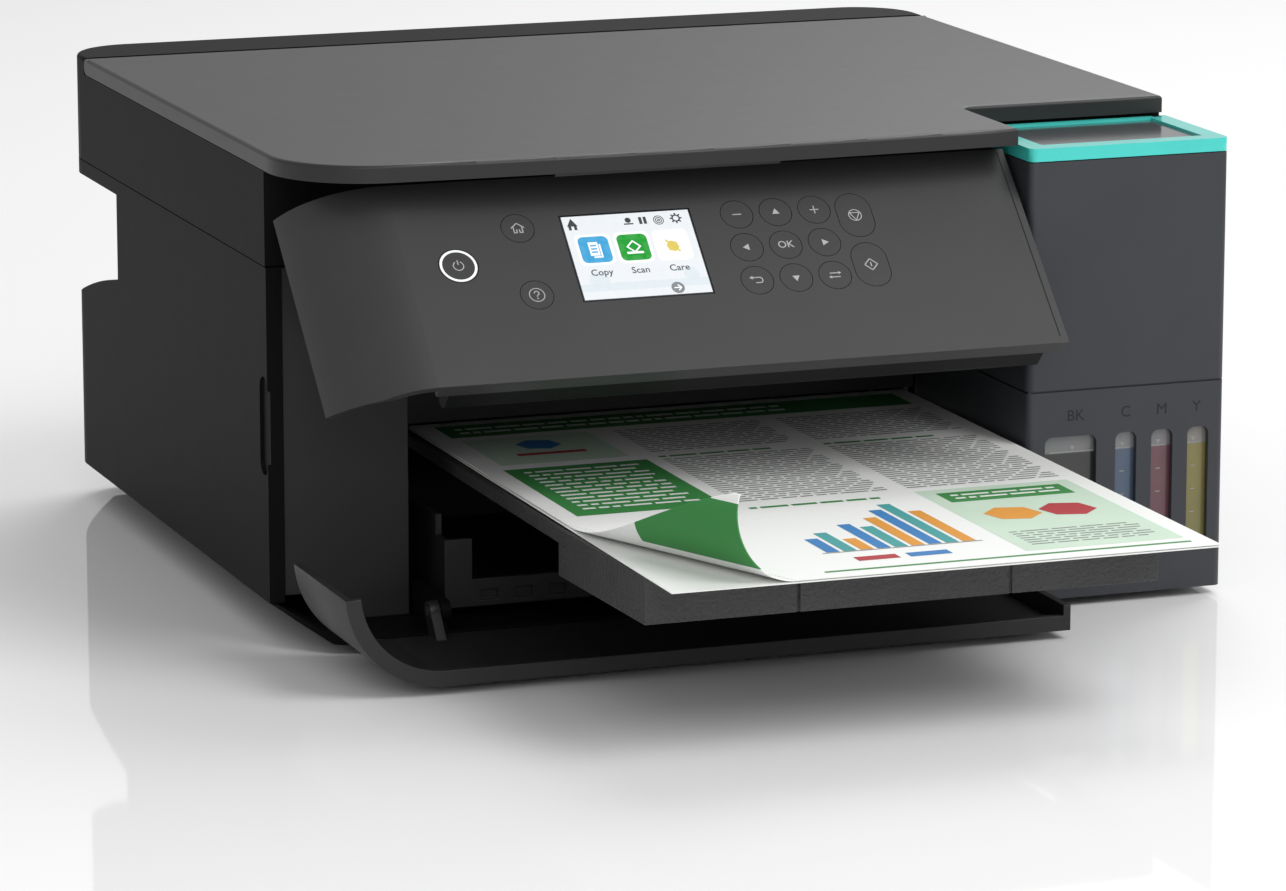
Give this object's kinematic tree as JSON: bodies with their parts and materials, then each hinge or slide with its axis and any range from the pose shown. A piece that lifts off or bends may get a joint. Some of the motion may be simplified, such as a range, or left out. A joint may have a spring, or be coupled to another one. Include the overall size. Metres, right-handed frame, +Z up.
{
  "type": "inkjet printer",
  "caption": "Desktop all-in-one inkjet printer with refillable ink tanks at the front right, flatbed scanner on top, tilting key panel, paper cassette and pull-out output tray with sheets.",
  "frame": {"origin": "on the floor, under the middle of the whole part's bounding box with the output tray pulled out", "axes": "+X to the printer's right side (the ink tanks) as seen from its front, +Y to its back, +Z up"},
  "size_m": [0.375, 0.522, 0.189],
  "materials": {
    "case_plastic": "fine grained satin",
    "lid_plastic": "fine grained satin",
    "panel_plastic": "satin",
    "tank_plastic": "satin",
    "tray_plastic": "grained matte",
    "accent_plastic": "semi gloss",
    "key_plastic": "matte",
    "power_key_plastic": "matte with a lit ring",
    "display": "lit screen behind clear plastic",
    "ink_black": "translucent",
    "ink_cyan": "translucent",
    "ink_magenta": "translucent",
    "ink_yellow": "translucent",
    "cap_rubber": "matte",
    "paper": "matte paper",
    "glass": "polished",
    "white_pad": "soft matte",
    "steel": "brushed",
    "motor": "satin",
    "gear_plastic": "waxy",
    "roller_rubber": "matte",
    "foot_rubber": "matte",
    "board": "lacquered",
    "inner_plastic": "matte"
  },
  "bodies": {
    "case": {"base_frame": "case_plastic", "left_side_cover": "case_plastic", "right_side_cover": "case_plastic", "rear_cover": "case_plastic", "front_frame": "case_plastic", "feet": "foot_rubber", "case_screws": "steel", "hinge_pins": "steel", "tank_housing": "tank_plastic", "tank_caps": "cap_rubber", "ink_tank_black": "ink_black", "ink_tank_cyan": "ink_cyan", "ink_tank_magenta": "ink_magenta", "ink_tank_yellow": "ink_yellow", "print_frame": "steel", "platen": "inner_plastic", "carriage_shaft": "steel", "carriage_belt": "roller_rubber", "drive_motors": "motor", "maintenance_box": "inner_plastic", "power_supply": "inner_plastic", "main_board": "board"},
    "scanner": {"scanner_base": "case_plastic", "scanner_glass": "glass"},
    "lid": {"lid": "lid_plastic", "lid_pad": "white_pad"},
    "panel": {"control_panel_front": "panel_plastic", "control_panel_back": "case_plastic", "panel_board": "board", "lcd_display": "display"},
    "tank_cover": {"tank_cover": "accent_plastic", "tank_cover_plate": "tank_plastic"},
    "front_cover": {"front_cover": "panel_plastic"},
    "output_tray": {"output_tray": "tray_plastic", "printed_sheets": "paper"},
    "paper_cassette": {"paper_cassette": "tray_plastic"},
    "edge_guide_left": {"edge_guide_left": "inner_plastic"},
    "edge_guide_right": {"edge_guide_right": "inner_plastic"},
    "print_carriage": {"print_carriage": "inner_plastic"},
    "drive_pulley": {"drive_pulley": "gear_plastic"},
    "idler_pulley": {"idler_pulley": "gear_plastic"},
    "feed_roller": {"feed_roller": "roller_rubber"},
    "eject_roller": {"eject_roller": "roller_rubber"},
    "idler_gear": {"idler_gear": "gear_plastic"},
    "motor_pinion": {"motor_pinion": "gear_plastic"},
    "scan_carriage": {"scan_carriage": "inner_plastic"},
    "power_key": {"power_key": "power_key_plastic"},
    "home_key": {"home_key": "key_plastic"},
    "help_key": {"help_key": "key_plastic"},
    "minus_key": {"minus_key": "key_plastic"},
    "up_key": {"up_key": "key_plastic"},
    "plus_key": {"plus_key": "key_plastic"},
    "left_key": {"left_key": "key_plastic"},
    "ok_key": {"ok_key": "key_plastic"},
    "right_key": {"right_key": "key_plastic"},
    "back_key": {"back_key": "key_plastic"},
    "down_key": {"down_key": "key_plastic"},
    "swap_key": {"swap_key": "key_plastic"},
    "stop_key": {"stop_key": "key_plastic"},
    "start_key": {"start_key": "key_plastic"}
  },
  "joints": [
    {"name": "lid_hinge", "type": "hinge", "parent": "scanner", "child": "lid", "pos_m": [0, 0.22285, 0.18565], "axis": [-1, 0, 0], "range_deg": [0, 80]},
    {"name": "scanner_lift", "type": "hinge", "parent": "case", "child": "scanner", "pos_m": [0, 0.253, 0.1538], "axis": [-1, 0, 0], "range_deg": [0, 28]},
    {"name": "panel_tilt", "type": "hinge", "parent": "case", "child": "panel", "pos_m": [-0.0225, -0.062, 0.1587], "axis": [-1, 0, 0], "range_deg": [-45.7, 14.3]},
    {"name": "front_cover_hinge", "type": "hinge", "parent": "case", "child": "front_cover", "pos_m": [-0.0175, -0.063, 0.0155], "axis": [-1, 0, 0], "range_deg": [0, 40]},
    {"name": "tank_cover_hinge", "type": "hinge", "parent": "case", "child": "tank_cover", "pos_m": [0.1455, -0.0228, 0.179], "axis": [-1, 0, 0], "range_deg": [0, 85]},
    {"name": "tray_slide", "type": "slide", "parent": "case", "child": "output_tray", "axis": [0, 1, 0], "range_m": [0, 0.185]},
    {"name": "cassette_slide", "type": "slide", "parent": "case", "child": "paper_cassette", "axis": [0, 1, 0], "range_m": [-0.2, 0]},
    {"name": "edge_guide_left_slide", "type": "slide", "parent": "paper_cassette", "child": "edge_guide_left", "axis": [1, 0, 0], "range_m": [0, 0.05]},
    {"name": "edge_guide_right_slide", "type": "slide", "parent": "paper_cassette", "child": "edge_guide_right", "axis": [1, 0, 0], "range_m": [-0.05, 0]},
    {"name": "carriage_slide", "type": "slide", "parent": "case", "child": "print_carriage", "axis": [1, 0, 0], "range_m": [-0.145, 0]},
    {"name": "idler_pulley_spin", "type": "hinge", "parent": "case", "child": "idler_pulley", "pos_m": [-0.1125, 0.153, 0.11], "axis": [0, 1, 0], "range_deg": [-1390, 5]},
    {"name": "drive_pulley_spin", "type": "hinge", "parent": "case", "child": "drive_pulley", "pos_m": [0.0843, 0.153, 0.11], "axis": [0, 1, 0], "range_deg": [-1390, 5]},
    {"name": "scan_carriage_slide", "type": "slide", "parent": "scanner", "child": "scan_carriage", "axis": [1, 0, 0], "range_m": [0, 0.27]},
    {"name": "feed_roller_spin", "type": "hinge", "parent": "case", "child": "feed_roller", "pos_m": [-0.0175, 0.132, 0.078], "axis": [1, 0, 0], "continuous": true},
    {"name": "eject_roller_spin", "type": "hinge", "parent": "case", "child": "eject_roller", "pos_m": [-0.0175, 0.051, 0.077], "axis": [1, 0, 0], "continuous": true},
    {"name": "idler_gear_spin", "type": "hinge", "parent": "case", "child": "idler_gear", "pos_m": [-0.164, 0.08325, 0.09299], "axis": [1, 0, 0], "continuous": true},
    {"name": "motor_pinion_spin", "type": "hinge", "parent": "case", "child": "motor_pinion", "pos_m": [-0.164, 0.17085, 0.0814], "axis": [1, 0, 0], "continuous": true},
    {"name": "power_key_press", "type": "slide", "parent": "panel", "child": "power_key", "axis": [0, 0.6984, -0.7157], "range_m": [0, 0.0006], "stiffness_N_per_m": 400, "springref_m": -0.001},
    {"name": "home_key_press", "type": "slide", "parent": "panel", "child": "home_key", "axis": [0, 0.6984, -0.7157], "range_m": [0, 0.0006], "stiffness_N_per_m": 400, "springref_m": -0.001},
    {"name": "help_key_press", "type": "slide", "parent": "panel", "child": "help_key", "axis": [0, 0.6984, -0.7157], "range_m": [0, 0.0006], "stiffness_N_per_m": 400, "springref_m": -0.001},
    {"name": "minus_key_press", "type": "slide", "parent": "panel", "child": "minus_key", "axis": [0, 0.6984, -0.7157], "range_m": [0, 0.0006], "stiffness_N_per_m": 400, "springref_m": -0.001},
    {"name": "up_key_press", "type": "slide", "parent": "panel", "child": "up_key", "axis": [0, 0.6984, -0.7157], "range_m": [0, 0.0006], "stiffness_N_per_m": 400, "springref_m": -0.001},
    {"name": "plus_key_press", "type": "slide", "parent": "panel", "child": "plus_key", "axis": [0, 0.6984, -0.7157], "range_m": [0, 0.0006], "stiffness_N_per_m": 400, "springref_m": -0.001},
    {"name": "left_key_press", "type": "slide", "parent": "panel", "child": "left_key", "axis": [0, 0.6984, -0.7157], "range_m": [0, 0.0006], "stiffness_N_per_m": 400, "springref_m": -0.001},
    {"name": "ok_key_press", "type": "slide", "parent": "panel", "child": "ok_key", "axis": [0, 0.6984, -0.7157], "range_m": [0, 0.0006], "stiffness_N_per_m": 400, "springref_m": -0.001},
    {"name": "right_key_press", "type": "slide", "parent": "panel", "child": "right_key", "axis": [0, 0.6984, -0.7157], "range_m": [0, 0.0006], "stiffness_N_per_m": 400, "springref_m": -0.001},
    {"name": "back_key_press", "type": "slide", "parent": "panel", "child": "back_key", "axis": [0, 0.6984, -0.7157], "range_m": [0, 0.0006], "stiffness_N_per_m": 400, "springref_m": -0.001},
    {"name": "down_key_press", "type": "slide", "parent": "panel", "child": "down_key", "axis": [0, 0.6984, -0.7157], "range_m": [0, 0.0006], "stiffness_N_per_m": 400, "springref_m": -0.001},
    {"name": "swap_key_press", "type": "slide", "parent": "panel", "child": "swap_key", "axis": [0, 0.6984, -0.7157], "range_m": [0, 0.0006], "stiffness_N_per_m": 400, "springref_m": -0.001},
    {"name": "stop_key_press", "type": "slide", "parent": "panel", "child": "stop_key", "axis": [0, 0.6984, -0.7157], "range_m": [0, 0.0006], "stiffness_N_per_m": 400, "springref_m": -0.001},
    {"name": "start_key_press", "type": "slide", "parent": "panel", "child": "start_key", "axis": [0, 0.6984, -0.7157], "range_m": [0, 0.0006], "stiffness_N_per_m": 400, "springref_m": -0.001}
  ],
  "couplings": [
    {"joint": "edge_guide_right_slide", "follows": "edge_guide_left_slide", "ratio": -1},
    {"joint": "idler_pulley_spin", "follows": "carriage_slide", "rad_per_m": 166.67},
    {"joint": "drive_pulley_spin", "follows": "carriage_slide", "rad_per_m": 166.67},
    {"joint": "eject_roller_spin", "follows": "feed_roller_spin", "ratio": 2},
    {"joint": "idler_gear_spin", "follows": "feed_roller_spin", "ratio": -1.4286},
    {"joint": "motor_pinion_spin", "follows": "feed_roller_spin", "ratio": -3.3333}
  ]
}
